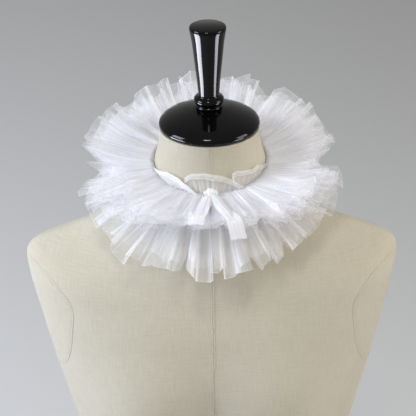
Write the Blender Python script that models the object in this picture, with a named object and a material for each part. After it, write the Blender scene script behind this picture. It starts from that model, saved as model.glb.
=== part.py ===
"""A ruff collar of gathered tulle, worn by a limbless dress form that stands on its own base board.

Metres, +Z up. The origin is the middle of the base board's underside, and the front faces -Y.
Around the neck an angle of 0 is the centre front, and it grows towards +X.
"""

import math
import random
from collections import namedtuple

import bmesh
import bpy

# Clearances and walls
SEAM_GAP = 0.0004  # between pieces that are sewn, tied or screwed together
TULLE_WALL = 0.0010  # the gathered tulle of one strip, as a wall

# Heights of the dress form
CAP_RIM_HEIGHT = 0.700
BOARD_THICKNESS = 0.014

# One row per level of the form: its height, half width, depths before and behind the neck's
# axis, and how square its outline is, where 2 is an ellipse
Section = namedtuple("Section", "height half_width front back squareness")
TORSO_SECTIONS = (
    Section(0.0144, 0.162, 0.098, 0.108, 2.3),
    Section(0.060, 0.167, 0.102, 0.114, 2.3),
    Section(0.120, 0.157, 0.100, 0.106, 2.2),
    Section(0.180, 0.138, 0.090, 0.088, 2.15),
    Section(0.240, 0.126, 0.084, 0.075, 2.1),
    Section(0.310, 0.138, 0.094, 0.080, 2.15),
    Section(0.384, 0.156, 0.106, 0.090, 2.2),
    Section(0.440, 0.169, 0.106, 0.098, 2.3),
    Section(0.4965, 0.181, 0.098, 0.102, 2.45),
    Section(0.536, 0.1895, 0.0865, 0.096, 2.4),
    Section(0.556, 0.1925, 0.0800, 0.092, 2.0),
    Section(0.566, 0.1880, 0.0770, 0.089, 1.6),
    Section(0.574, 0.1730, 0.0745, 0.086, 1.4),
    Section(0.583, 0.1480, 0.0715, 0.083, 1.35),
    Section(0.594, 0.1240, 0.0685, 0.080, 1.4),
    Section(0.607, 0.1020, 0.0650, 0.076, 1.55),
    Section(0.620, 0.0850, 0.0615, 0.070, 1.75),
    Section(0.632, 0.0720, 0.0585, 0.0645, 1.95),
    Section(0.645, 0.0605, 0.0560, 0.0585, 2.0),
    Section(0.661, 0.0560, 0.0535, 0.0545, 2.0),
    Section(0.684, 0.0505, 0.0500, 0.0500, 2.0),
    Section(0.6950, 0.0500, 0.0495, 0.0495, 2.0),
)
TORSO_SIDES = 36
LONGEST_LEVEL_STEP = 0.035
FEWEST_LEVELS_PER_SECTION = 2

# The bust, as two soft rises on the front
BUST_HEIGHT = 0.405
BUST_APEX_X = 0.082
BUST_RISE = 0.026
BUST_SPREAD_X = 0.048
BUST_SPREAD_Z = 0.050

# The black lacquered cap and finial, turned: radius and height above the cap's rim
CAP_PROFILE = (
    (0.0000, -0.0046),
    (0.0470, -0.0046),
    (0.0495, -0.0038),
    (0.0506, -0.0018),
    (0.0506, 0.0006),
    (0.0490, 0.0030),
    (0.0400, 0.0082),
    (0.0280, 0.0126),
    (0.0170, 0.0152),
    (0.0150, 0.0160),
    (0.0000, 0.0160),
)
FINIAL_PROFILE = (
    (0.0000, 0.0164),
    (0.0128, 0.0164),
    (0.0137, 0.0178),
    (0.0124, 0.0196),
    (0.0138, 0.0212),
    (0.0150, 0.0234),
    (0.0150, 0.0258),
    (0.0132, 0.0280),
    (0.0107, 0.0290),
    (0.0105, 0.0310),
    (0.0127, 0.0550),
    (0.0160, 0.0860),
    (0.0181, 0.0985),
    (0.0180, 0.1008),
    (0.0168, 0.1020),
    (0.0000, 0.1023),
)
TURNED_SIDES = 32

# Where the gathering line sits round the neck: heights at the front, side and back
GATHER_HEIGHT = (0.641, 0.648, 0.655)
BAND_CLEARANCE = 0.0014  # from the widest of the neck inside the band to the middle of its wall
BAND_BELOW = 0.0080
BAND_ABOVE = (0.0300, 0.0130, 0.0180)  # of the heading's upper edge at the front, side and back
BAND_WAVES = 24
SAMPLES_PER_BAND_WAVE = 4
BAND_WAVE_RISE = 0.0022
BAND_LOBES = 5
BAND_LOBE = 0.15  # how far the heading's edge rises and falls, as a share of its height
BAND_LOBE_TURN = math.radians(5.0)  # where the front lobe has its top
HEADING_CLEARANCE = 0.0036  # from the neck to the middle of the heading's upper edge

# The gathered strips
FRILL_WIDTH = 0.066  # from the gathers to the cut edge
ROWS_PER_FRILL = 2
ROOT_WAVE = 0.0010
EDGE_WAVE = 0.0095
FRILL_DROOP = 0.004
STRIP_ROOT_STEP = 0.0014  # from one strip's gathers to the next, outwards
HALF_END_GAP = math.radians(0.5)  # between a strip's two ends, at the centre front

# The waves of a strip: flat crests and troughs of uneven width, joined by slanting sides
WAVES = 29
SIDE_WIDTHS = (0.22, 0.32)  # shares of a wave, least and greatest
FLAT_WIDTHS = (0.14, 0.42)
CREST_RISES = (0.60, 0.90)  # shares of the greatest wave
FLAT_TILT = 0.10  # how far one end of a crest or trough can stand out past its middle
PLEAT_SEED = 7

# One row per strip: half the height of its gathers, then the slopes of its upper and its
# lower frill in degrees above the horizon, at the front, side and back
Strip = namedtuple("Strip", "name half_root upper lower")
STRIPS = (
    Strip("strip_1", 0.0062, (8.6, 25.0, 46.0), (-34.0, -14.0, -20.0)),
    Strip("strip_2", 0.0038, (8.4, 18.0, 36.0), (7.8, -5.0, -9.0)),
    Strip("strip_3", 0.0014, (8.2, 10.0, 22.0), (8.0, 2.0, 4.0)),
)

# The tie at the centre front
KNOT_SIZE = (0.0075, 0.0048, 0.0050)  # half sizes
KNOT_DROP = 0.0006  # how far the knot settles between two crests
TAIL_WALL = 0.0010
TAIL_FOLD = 0.0018  # how far a tail's middle stands up between its edges
TAIL_CLEARANCE = 0.0005  # over the crests of the frill below
TAIL_ROWS = 6

# One row per tail: where it starts and how far it turns round the neck, in degrees, its length
# from the knot, and its widths at the knot and at the cut end
Tail = namedtuple("Tail", "name turn sweep length root_width end_width")
TAILS = (
    Tail("tie_tail_left", -2.6, -3.4, 0.051, 0.0046, 0.0140),
    Tail("tie_tail_right", 2.6, 10.0, 0.056, 0.0050, 0.0165),
)

# Colours, as linear red, green and blue, with roughness
Finish = namedtuple("Finish", "name colour roughness")
TULLE = Finish("white_tulle", (0.86, 0.87, 0.90), 0.8)
LINEN = Finish("natural_linen", (0.62, 0.57, 0.44), 0.9)
LACQUER = Finish("black_lacquer", (0.006, 0.006, 0.006), 0.12)


def clear_scene():
    for found in list(bpy.data.objects):
        bpy.data.objects.remove(found)


def material_of(finish):
    made = bpy.data.materials.get(finish.name) or bpy.data.materials.new(finish.name)
    made.use_nodes = True
    shader = made.node_tree.nodes["Principled BSDF"]
    shader.inputs["Base Color"].default_value = (*finish.colour, 1.0)
    shader.inputs["Roughness"].default_value = finish.roughness
    return made


def add_object(name, form, finish, smooth_angle=40.0):
    """Ends a bmesh and puts it in the scene as one named object."""
    mesh = bpy.data.meshes.new(name)
    form.to_mesh(mesh)
    form.free()
    mesh.materials.append(material_of(finish))
    mesh.shade_smooth()
    mesh.set_sharp_from_angle(angle=math.radians(smooth_angle))
    made = bpy.data.objects.new(name, mesh)
    bpy.context.scene.collection.objects.link(made)
    return made


def add_wall(made, thickness):
    """Gives a sheet its thickness, half to each side."""
    wall = made.modifiers.new("wall", "SOLIDIFY")
    wall.thickness = thickness
    wall.offset = 0.0


def grid_form(rows, closed_around):
    """A sheet through rows of points. Each row runs round the neck."""
    form = bmesh.new()
    grid = [[form.verts.new(point) for point in row] for row in rows]
    count = len(rows[0])
    spans = count if closed_around else count - 1
    for low, high in zip(grid, grid[1:]):
        for i in range(spans):
            j = (i + 1) % count
            form.faces.new((low[i], low[j], high[j], high[i]))
    return form, grid


def hermite(low, high, slope_low, slope_high, span, t):
    """A cubic from low to high with these slopes at its ends."""
    a = 2 * t**3 - 3 * t**2 + 1
    b = t**3 - 2 * t**2 + t
    c = -2 * t**3 + 3 * t**2
    d = t**3 - t**2
    return a * low + b * span * slope_low + c * high + d * span * slope_high


def column_slope(rows, i, column):
    """The slope of one column at row i, kept level where the column turns, so it can't overshoot."""
    if i in (0, len(rows) - 1):
        return 0.0
    before, here, after = rows[i - 1], rows[i], rows[i + 1]
    left = (here[column] - before[column]) / (here[0] - before[0])
    right = (after[column] - here[column]) / (after[0] - here[0])
    if left * right <= 0:
        return 0.0
    return 2 * left * right / (left + right)


def section_at(height):
    """The form's section at any height, read smoothly from the table."""
    rows = TORSO_SECTIONS
    height = min(max(height, rows[0].height), rows[-1].height)
    i = max(k for k in range(len(rows) - 1) if rows[k].height <= height)
    low, high = rows[i], rows[i + 1]
    span = high.height - low.height
    t = (height - low.height) / span
    values = [
        hermite(low[c], high[c], column_slope(rows, i, c), column_slope(rows, i + 1, c), span, t)
        for c in range(1, len(Section._fields))
    ]
    return Section(height, *values)


def signed_power(value, power):
    return math.copysign(abs(value) ** power, value)


def bust_rise(x, height):
    across = (abs(x) - BUST_APEX_X) / BUST_SPREAD_X
    along = (height - BUST_HEIGHT) / BUST_SPREAD_Z
    return BUST_RISE * math.exp(-0.5 * (across**2 + along**2))


def section_ring(section, sides, shrink=0.0):
    """Points round one section, from +X through the back."""
    points = []
    for i in range(sides):
        turn = 2 * math.pi * i / sides
        x = (section.half_width - shrink) * signed_power(math.cos(turn), 2 / section.squareness)
        side = math.sin(turn)
        depth = (section.back if side > 0 else section.front) - shrink
        y = depth * signed_power(side, 2 / section.squareness)
        if side < 0:
            y -= bust_rise(x, section.height) * abs(side)
        points.append((x, y, section.height))
    return points


def neck_radius(angle, height):
    """How far the form's surface lies from the neck's axis, at an angle round it."""
    section = section_at(height)
    depth = section.front if math.cos(angle) > 0 else section.back
    power = section.squareness
    reach = abs(math.sin(angle) / section.half_width) ** power + abs(math.cos(angle) / depth) ** power
    return reach ** (-1 / power)


def make_torso():
    heights = []
    for low, high in zip(TORSO_SECTIONS, TORSO_SECTIONS[1:]):
        rise = high.height - low.height
        steps = max(FEWEST_LEVELS_PER_SECTION, math.ceil(rise / LONGEST_LEVEL_STEP))
        heights += [low.height + rise * k / steps for k in range(steps)]
    heights.append(TORSO_SECTIONS[-1].height)
    rows = [section_ring(section_at(height), TORSO_SIDES) for height in heights]
    form, grid = grid_form(rows, closed_around=True)
    form.faces.new(reversed(grid[0]))
    form.faces.new(grid[-1])
    add_object("form_torso", form, LINEN)


def make_base_board():
    """The board has the torso's lowest outline, drawn in a little."""
    section = TORSO_SECTIONS[0]._replace(height=0.0)
    low = section_ring(section, TORSO_SIDES, shrink=0.004)
    high = [(x, y, BOARD_THICKNESS) for x, y, _ in low]
    form, grid = grid_form([low, high], closed_around=True)
    form.faces.new(reversed(grid[0]))
    form.faces.new(grid[-1])
    add_object("base_board", form, LACQUER)


def make_turned(name, profile):
    """A piece turned on the neck's axis, from the radius and height of each point of its profile."""
    form = bmesh.new()
    points = [form.verts.new((radius, 0.0, CAP_RIM_HEIGHT + height)) for radius, height in profile]
    edges = [form.edges.new(pair) for pair in zip(points, points[1:])]
    bmesh.ops.spin(
        form,
        geom=points + edges,
        cent=(0.0, 0.0, 0.0),
        axis=(0.0, 0.0, 1.0),
        angle=2 * math.pi,
        steps=TURNED_SIDES,
        use_merge=True,
    )
    bmesh.ops.remove_doubles(form, verts=form.verts[:], dist=1e-6)
    bmesh.ops.recalc_face_normals(form, faces=form.faces[:])
    add_object(name, form, LACQUER)


def around(values, angle):
    """Reads (front, side, back) values smoothly at an angle round the neck."""
    front, side, back = values
    lean = math.cos(angle)
    return side + (front - back) / 2 * lean + ((front + back) / 2 - side) * lean**2


def band_radius(angle):
    """The middle of the neck band's wall, which clears the neck where it is widest inside the band."""
    return neck_radius(angle, around(GATHER_HEIGHT, angle) - BAND_BELOW) + BAND_CLEARANCE


def heading_level(angle):
    """How far the heading's upper edge, which runs in lobes, lies above the gathering line."""
    lobe = math.cos(BAND_LOBES * (angle - BAND_LOBE_TURN))
    return around(BAND_ABOVE, angle) * (1 + BAND_LOBE * lobe)


def heading_radius(angle):
    """The middle of the heading's upper edge, which leans in towards the neck."""
    height = around(GATHER_HEIGHT, angle) + heading_level(angle)
    return neck_radius(angle, height) + HEADING_CLEARANCE


def gather_radius(angle):
    """The outside of the neck band at the gathering line."""
    return band_radius(angle) + TULLE_WALL / 2


def point_at(angle, radius, height):
    return (radius * math.sin(angle), -radius * math.cos(angle), height)


def make_neck_band():
    """A gathered casing that stands round the neck, with a ruffled heading above the gathers."""
    samples = BAND_WAVES * SAMPLES_PER_BAND_WAVE
    rows = []
    for row_name in ("lower edge", "upper seam", "heading"):
        row = []
        for i in range(samples + 1):
            share = i / samples
            angle = strip_angle(share)
            radius = band_radius(angle)
            level = -BAND_BELOW if row_name == "lower edge" else BAND_BELOW
            if row_name == "heading":
                radius = heading_radius(angle) + BAND_WAVE_RISE * math.sin(2 * math.pi * BAND_WAVES * share)
                level = heading_level(angle)
            row.append(point_at(angle, radius, around(GATHER_HEIGHT, angle) + level))
        rows.append(row)
    form, _ = grid_form(rows, closed_around=False)
    add_wall(add_object("neck_band", form, TULLE), TULLE_WALL)


def pleat_table():
    """The waves round a strip, shared by all strips: (share of the way round, rise from -1 to 1)."""
    chance = random.Random(PLEAT_SEED)
    steps = []
    for k in range(2 * WAVES):
        sign = 1.0 if k % 2 == 0 else -1.0
        rise = chance.uniform(*CREST_RISES)
        tilt = chance.uniform(-FLAT_TILT, FLAT_TILT)
        steps.append((chance.uniform(*SIDE_WIDTHS), sign * (rise + tilt)))
        steps.append((chance.uniform(*FLAT_WIDTHS), sign * (rise - tilt)))
    steps.append((SIDE_WIDTHS[0], 0.0))
    total = sum(width for width, _ in steps)
    table = [(0.0, 0.0)]
    reach = 0.0
    for width, rise in steps:
        reach += width
        table.append((reach / total, rise))
    return table


def strip_angle(share):
    """The angle round the neck at a share of a strip's length."""
    return HALF_END_GAP + share * 2 * (math.pi - HALF_END_GAP)


def frill_point(angle, rise, root_radius, root_height, slope, s):
    """A point of a frill: s runs from 0 at the gathers to 1 at the cut edge."""
    slope = math.radians(slope)
    out = FRILL_WIDTH * s
    swell = rise * (ROOT_WAVE + (EDGE_WAVE - ROOT_WAVE) * s)
    radius = root_radius + out * math.cos(slope) - swell * math.sin(slope)
    height = root_height + out * math.sin(slope) + swell * math.cos(slope) - FRILL_DROOP * s * s
    return point_at(angle, radius, height)


def strip_root_radius(angle, order):
    """Where a strip's gathers run, outside the band and the strips before it."""
    inner = gather_radius(angle) + ROOT_WAVE + SEAM_GAP + TULLE_WALL / 2
    return inner + order * STRIP_ROOT_STEP


def make_strip(strip, order, pleats):
    """One length of tulle gathered along its middle, with a frill above the gathers and one below."""
    shares = [k / ROWS_PER_FRILL for k in range(ROWS_PER_FRILL + 1)]
    lines = [(strip.upper, strip.half_root, s) for s in reversed(shares)]
    lines += [(strip.lower, -strip.half_root, s) for s in shares]
    rows = []
    for slopes, lift, s in lines:
        row = []
        for share, rise in pleats:
            angle = strip_angle(share)
            root_radius = strip_root_radius(angle, order)
            root_height = around(GATHER_HEIGHT, angle) + lift
            row.append(frill_point(angle, rise, root_radius, root_height, around(slopes, angle), s))
        rows.append(row)
    form, _ = grid_form(rows, closed_around=False)
    add_wall(add_object(strip.name, form, TULLE), TULLE_WALL)


def crest_rise(angle, pleats):
    """The rise of a straight line from crest to crest, which bridges the troughs."""
    crests = [(strip_angle(share), rise) for share, rise in pleats if rise > 0]
    turn = 2 * math.pi
    crests = [(crests[-1][0] - turn, crests[-1][1]), *crests, (crests[0][0] + turn, crests[0][1])]
    angle %= turn
    for (low, rise_low), (high, rise_high) in zip(crests, crests[1:]):
        if low <= angle <= high:
            return rise_low + (rise_high - rise_low) * (angle - low) / (high - low)


def crest_height(angle, radius, pleats):
    """The top of the uppermost frill's crests at this place, with its wall."""
    strip = STRIPS[0]
    slope = math.radians(around(strip.upper, angle))
    rise = crest_rise(angle, pleats)
    growth = rise * (EDGE_WAVE - ROOT_WAVE)
    out = radius - strip_root_radius(angle, 0) + rise * ROOT_WAVE * math.sin(slope)
    s = max(0.0, out / (FRILL_WIDTH * math.cos(slope) - growth * math.sin(slope)))
    height = around(GATHER_HEIGHT, angle) + strip.half_root + FRILL_WIDTH * s * math.sin(slope)
    height += (rise * ROOT_WAVE + growth * s) * math.cos(slope) - FRILL_DROOP * s * s
    return height + TULLE_WALL / 2 / math.cos(slope)


def knot_place(pleats):
    """The knot stands before the heading at the centre front, on the crests of the uppermost frill."""
    half_depth, half_height = KNOT_SIZE[1:]
    reach = band_radius(0.0) + TULLE_WALL / 2 + SEAM_GAP + half_depth
    low = crest_height(0.0, reach - half_depth, pleats)
    high = crest_height(0.0, reach + half_depth, pleats)
    support = math.hypot(half_height, (high - low) / 2)
    return (0.0, -reach, (low + high) / 2 + support - KNOT_DROP)


def make_knot(pleats):
    form = bmesh.new()
    bmesh.ops.create_icosphere(form, subdivisions=2, radius=1.0)
    bmesh.ops.scale(form, vec=KNOT_SIZE, verts=form.verts[:])
    bmesh.ops.translate(form, vec=knot_place(pleats), verts=form.verts[:])
    add_object("tie_knot", form, TULLE)


def make_tail(tail, pleats):
    """A cut end of the tie, folded along its middle, lying out over the frill's crests."""
    start = -knot_place(pleats)[1] + KNOT_SIZE[1] + SEAM_GAP
    rows = []
    for across in (-1.0, 0.0, 1.0):
        row = []
        for k in range(TAIL_ROWS + 1):
            t = k / TAIL_ROWS
            radius = start + tail.length * t
            width = tail.root_width + (tail.end_width - tail.root_width) * t
            angle = math.radians(tail.turn + tail.sweep * t) + across * width / 2 / radius
            height = crest_height(angle, radius, pleats) + TAIL_CLEARANCE + TAIL_WALL / 2
            row.append(point_at(angle, radius, height + TAIL_FOLD * (1 - abs(across))))
        rows.append(row)
    form, _ = grid_form(rows, closed_around=False)
    add_wall(add_object(tail.name, form, TULLE), TAIL_WALL)


def main():
    clear_scene()
    make_torso()
    make_base_board()
    make_turned("neck_cap", CAP_PROFILE)
    make_turned("finial", FINIAL_PROFILE)
    make_neck_band()
    pleats = pleat_table()
    for order, strip in enumerate(STRIPS):
        make_strip(strip, order, pleats)
    make_knot(pleats)
    for tail in TAILS:
        make_tail(tail, pleats)


main()
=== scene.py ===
"""A ruff collar of gathered white tulle on a limbless dress form covered in linen.

Metres, +Z up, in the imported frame. The front faces -Y. Around the neck an angle of 0 is the centre
front, and it grows towards +X. The sections follow the order in which the object is put together.
"""

import math
import random
from collections import namedtuple

import bmesh
import bpy
import numpy as np
from mathutils import Matrix, Vector
from mathutils.bvhtree import BVHTree


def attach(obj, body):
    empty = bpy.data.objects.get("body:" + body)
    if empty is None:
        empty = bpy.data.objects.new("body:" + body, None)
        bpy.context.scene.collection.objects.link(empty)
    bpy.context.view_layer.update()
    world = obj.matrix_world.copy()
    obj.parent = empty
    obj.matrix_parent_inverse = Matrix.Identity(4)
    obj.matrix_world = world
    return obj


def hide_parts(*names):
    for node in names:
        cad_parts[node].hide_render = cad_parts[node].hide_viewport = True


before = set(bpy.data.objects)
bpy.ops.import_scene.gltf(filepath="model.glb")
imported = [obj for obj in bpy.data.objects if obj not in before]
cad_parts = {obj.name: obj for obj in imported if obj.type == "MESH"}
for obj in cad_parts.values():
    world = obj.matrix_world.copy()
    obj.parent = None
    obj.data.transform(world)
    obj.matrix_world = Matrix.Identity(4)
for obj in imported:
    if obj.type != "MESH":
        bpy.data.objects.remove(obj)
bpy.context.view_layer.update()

# The camera
# It stands 1.39 m before the neck and 0.66 m above the cap's rim, and looks down at the collar
# through a long lens. It is turned a little, as the photograph is.
CAMERA_PLACE = (-0.003, -1.392, 1.358)
CAMERA_TILT = math.radians(28.52)  # below the horizon
CAMERA_ROLL = math.radians(-1.1)
PHOTO_WIDTH_PX = 416
FOCAL_LENGTH_PX = 1540
SENSOR_WIDTH_MM = 36.0

camera = bpy.data.objects.new("camera", bpy.data.cameras.new("camera"))
camera.data.sensor_width = SENSOR_WIDTH_MM
camera.data.lens = SENSOR_WIDTH_MM * FOCAL_LENGTH_PX / PHOTO_WIDTH_PX
turn = Matrix.Rotation(math.pi / 2 - CAMERA_TILT, 4, "X") @ Matrix.Rotation(CAMERA_ROLL, 4, "Z")
camera.matrix_world = Matrix.Translation(CAMERA_PLACE) @ turn
bpy.context.scene.collection.objects.link(camera)
bpy.context.scene.camera = camera
bpy.context.scene.view_settings.view_transform = "Standard"


# The torso
# A padded body covered in unbleached linen. Its form is worked out from level sections, each with
# a half width, depths before and behind the neck's axis, and how square it is.
Section = namedtuple("Section", "height half_width front back squareness")
TORSO_SECTIONS = (
    Section(0.0144, 0.162, 0.098, 0.108, 2.3),
    Section(0.060, 0.167, 0.102, 0.114, 2.3),
    Section(0.120, 0.157, 0.100, 0.106, 2.2),
    Section(0.180, 0.138, 0.090, 0.088, 2.15),
    Section(0.240, 0.126, 0.084, 0.075, 2.1),
    Section(0.310, 0.138, 0.094, 0.080, 2.15),
    Section(0.384, 0.156, 0.106, 0.090, 2.2),
    Section(0.440, 0.169, 0.106, 0.098, 2.3),
    Section(0.4965, 0.181, 0.098, 0.102, 2.45),
    Section(0.536, 0.1895, 0.0865, 0.096, 2.4),
    Section(0.556, 0.1925, 0.0800, 0.092, 2.0),
    Section(0.566, 0.1880, 0.0770, 0.089, 1.6),
    Section(0.574, 0.1730, 0.0745, 0.086, 1.4),
    Section(0.583, 0.1480, 0.0715, 0.083, 1.35),
    Section(0.594, 0.1240, 0.0685, 0.080, 1.4),
    Section(0.607, 0.1020, 0.0650, 0.076, 1.55),
    Section(0.620, 0.0850, 0.0615, 0.070, 1.75),
    Section(0.632, 0.0720, 0.0585, 0.0645, 1.95),
    Section(0.645, 0.0605, 0.0560, 0.0585, 2.0),
    Section(0.661, 0.0560, 0.0535, 0.0545, 2.0),
    Section(0.684, 0.0505, 0.0500, 0.0500, 2.0),
    Section(0.6950, 0.0500, 0.0495, 0.0495, 2.0),
)
BUST_HEIGHT = 0.405
BUST_APEX_X = 0.082
BUST_RISE = 0.026
BUST_SPREAD_X = 0.048
BUST_SPREAD_Z = 0.050
TORSO_SIDES = 180
TORSO_LEVEL_STEP = 0.0045
SHARP_TURN = 50  # degrees between faces, above which their edge stays sharp
LINEN_COLOUR = "#BFBAAB"
LINEN_SHADE = "#ACA693"
LINEN_THREAD = 0.0011  # real linen has 0.6 mm between threads, drawn coarser so that it shows
LINEN_SLUB = 0.018  # length of a thick place in a thread
LINEN_STAIN = 14.0  # scale of the cloudy places where the linen has darkened


def srgb(code):
    """A colour from its sRGB hex code, as linear red, green, blue and alpha."""
    parts = [int(code[i : i + 2], 16) / 255 for i in (1, 3, 5)]
    return [p / 12.92 if p <= 0.04045 else ((p + 0.055) / 1.055) ** 2.4 for p in parts] + [1.0]


def add_node(tree, kind, inputs=None, **settings):
    """Adds a node, sets it up, and links or sets its inputs."""
    made = tree.nodes.new(kind)
    for name, value in settings.items():
        setattr(made, name, value)
    for key, value in (inputs or {}).items():
        if isinstance(value, bpy.types.NodeSocket):
            tree.links.new(value, made.inputs[key])
        else:
            made.inputs[key].default_value = value
    return made


def new_material(name):
    """An empty material, with its tree and its output node."""
    made = bpy.data.materials.new(name)
    made.use_nodes = True
    made.node_tree.nodes.clear()
    return made, made.node_tree, add_node(made.node_tree, "ShaderNodeOutputMaterial")


def wave_scale(pitch):
    """The scale at which a wave texture repeats once in each pitch, which is in metres."""
    return math.pi / 10 / pitch


def hermite(low, high, slope_low, slope_high, span, t):
    """A cubic from low to high with these slopes at its ends."""
    a = 2 * t**3 - 3 * t**2 + 1
    b = t**3 - 2 * t**2 + t
    c = -2 * t**3 + 3 * t**2
    d = t**3 - t**2
    return a * low + b * span * slope_low + c * high + d * span * slope_high


def column_slope(rows, i, column):
    """The slope of one column at row i, kept level where the column turns."""
    if i in (0, len(rows) - 1):
        return 0.0
    before, here, after = rows[i - 1], rows[i], rows[i + 1]
    left = (here[column] - before[column]) / (here[0] - before[0])
    right = (after[column] - here[column]) / (after[0] - here[0])
    if left * right <= 0:
        return 0.0
    return 2 * left * right / (left + right)


def section_at(height):
    """The form's section at any height, read smoothly from the table."""
    rows = TORSO_SECTIONS
    height = min(max(height, rows[0].height), rows[-1].height)
    i = max(k for k in range(len(rows) - 1) if rows[k].height <= height)
    low, high = rows[i], rows[i + 1]
    span = high.height - low.height
    t = (height - low.height) / span
    values = [
        hermite(low[c], high[c], column_slope(rows, i, c), column_slope(rows, i + 1, c), span, t)
        for c in range(1, len(Section._fields))
    ]
    return Section(height, *values)


def torso_point(turn, height, lift=0.0):
    """A point of the linen. The turn is 0 at the centre front and a quarter turn at the +X side."""
    section = section_at(height)
    across, along = math.sin(turn), -math.cos(turn)
    power = 2 / section.squareness
    x = (section.half_width + lift) * math.copysign(abs(across) ** power, across)
    depth = (section.back if along > 0 else section.front) + lift
    y = depth * math.copysign(abs(along) ** power, along)
    if along < 0:
        near_x = (abs(x) - BUST_APEX_X) / BUST_SPREAD_X
        near_z = (height - BUST_HEIGHT) / BUST_SPREAD_Z
        y += BUST_RISE * math.exp(-0.5 * (near_x**2 + near_z**2)) * along
    return Vector((x, y, height))


def shade_crisply(mesh):
    """Smooth shading, but for the edges where the surface turns sharply."""
    mesh.shade_smooth()
    mesh.set_sharp_from_angle(angle=math.radians(SHARP_TURN))


def new_piece(name, vertices, faces, material):
    """A mesh object at the origin, with smooth shading."""
    mesh = bpy.data.meshes.new(name)
    mesh.from_pydata([tuple(v) for v in vertices], [], faces)
    mesh.materials.append(material)
    mesh.shade_smooth()
    made = bpy.data.objects.new(name, mesh)
    bpy.context.scene.collection.objects.link(made)
    return made


def grid_faces(rows, columns, closed):
    """The quads of a grid whose points are listed row by row."""
    faces = []
    for r in range(rows - 1):
        for c in range(columns if closed else columns - 1):
            d = (c + 1) % columns
            faces.append((r * columns + c, r * columns + d, (r + 1) * columns + d, (r + 1) * columns + c))
    return faces


def set_cloth_uv(piece, coordinates):
    """Writes each vertex's place on the flat cloth, in metres, as a UV map."""
    layer = piece.data.uv_layers.new(name="cloth")
    corners = np.empty(len(piece.data.loops), dtype=np.int32)
    piece.data.loops.foreach_get("vertex_index", corners)
    layer.data.foreach_set("uv", np.asarray(coordinates, dtype=np.float32)[corners].ravel())


def linen_material():
    """Plain-woven unbleached linen: matt, with uneven threads both ways and a soft bloom.

    The thick places in its threads are darker and stand out, and every second thread makes a rib.
    """
    made, tree, output = new_material("unbleached_linen")
    cloth = add_node(tree, "ShaderNodeUVMap", uv_map="cloth").outputs["UV"]
    threads, ribs = [], []
    for stretch in ((LINEN_THREAD, LINEN_SLUB), (LINEN_SLUB, LINEN_THREAD)):
        size = (1 / stretch[0], 1 / stretch[1], 1.0)
        place = add_node(tree, "ShaderNodeMapping", {"Vector": cloth, "Scale": size})
        noise = add_node(
            tree, "ShaderNodeTexNoise", {"Vector": place.outputs[0], "Scale": 1.0, "Detail": 3.0}
        )
        threads.append(noise.outputs["Fac"])
    for direction in ("X", "Y"):
        wave = add_node(
            tree,
            "ShaderNodeTexWave",
            {"Vector": cloth, "Scale": wave_scale(2 * LINEN_THREAD), "Distortion": 0.6},
            bands_direction=direction,
        )
        ribs.append(wave.outputs["Fac"])
    slubs = add_node(tree, "ShaderNodeMath", {0: threads[0], 1: threads[1]}, operation="ADD")
    weave = add_node(tree, "ShaderNodeMath", {0: ribs[0], 1: ribs[1]}, operation="MAXIMUM")
    stain = add_node(tree, "ShaderNodeTexNoise", {"Vector": cloth, "Scale": LINEN_STAIN, "Detail": 4.0})
    amount = add_node(
        tree,
        "ShaderNodeMapRange",
        {"Value": slubs.outputs[0], "From Min": 0.7, "From Max": 1.3, "To Min": 0.0, "To Max": 0.55},
    )
    worn = add_node(
        tree,
        "ShaderNodeMath",
        {0: stain.outputs["Fac"], 1: 0.45, 2: amount.outputs[0]},
        operation="MULTIPLY_ADD",
    )
    colour = add_node(
        tree,
        "ShaderNodeMix",
        {"Factor": worn.outputs[0], "A": srgb(LINEN_COLOUR), "B": srgb(LINEN_SHADE)},
        data_type="RGBA",
    )
    relief = add_node(
        tree,
        "ShaderNodeMath",
        {0: weave.outputs[0], 1: 0.5, 2: slubs.outputs[0]},
        operation="MULTIPLY_ADD",
    )
    bump = add_node(
        tree, "ShaderNodeBump", {"Height": relief.outputs[0], "Distance": 0.00025, "Strength": 0.4}
    )
    shader = add_node(
        tree,
        "ShaderNodeBsdfPrincipled",
        {
            "Base Color": colour.outputs["Result"],
            "Roughness": 0.92,
            "Specular IOR Level": 0.25,
            "Sheen Weight": 0.15,
            "Normal": bump.outputs[0],
        },
    )
    tree.links.new(shader.outputs[0], output.inputs["Surface"])
    return made


linen = linen_material()


def make_torso():
    """The linen cover, with its flat place measured both ways from the centre front."""
    foot, top = TORSO_SECTIONS[0].height, TORSO_SECTIONS[-1].height
    heights = np.linspace(foot, top, round((top - foot) / TORSO_LEVEL_STEP) + 1)
    turns = np.linspace(-math.pi, math.pi, TORSO_SIDES + 1)
    vertices, flat = [], []
    middle = TORSO_SIDES // 2
    for height in heights:
        ring = [torso_point(turn, height) for turn in turns]
        steps = [0.0] + [(b - a).length for a, b in zip(ring, ring[1:])]
        reach = np.cumsum(steps)
        vertices += ring
        flat += [(u, height) for u in reach - reach[middle]]
    faces = grid_faces(len(heights), TORSO_SIDES + 1, closed=False)
    torso = new_piece("torso_linen", vertices, faces, linen)
    set_cloth_uv(torso, flat)
    form = bmesh.new()
    form.from_mesh(torso.data)
    bmesh.ops.remove_doubles(form, verts=form.verts[:], dist=1e-5)
    bmesh.ops.holes_fill(form, edges=form.edges[:])
    bmesh.ops.recalc_face_normals(form, faces=form.faces[:])
    form.to_mesh(torso.data)
    form.free()
    shade_crisply(torso.data)
    return torso


torso = make_torso()
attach(torso, "root")
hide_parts("form_torso")


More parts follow.
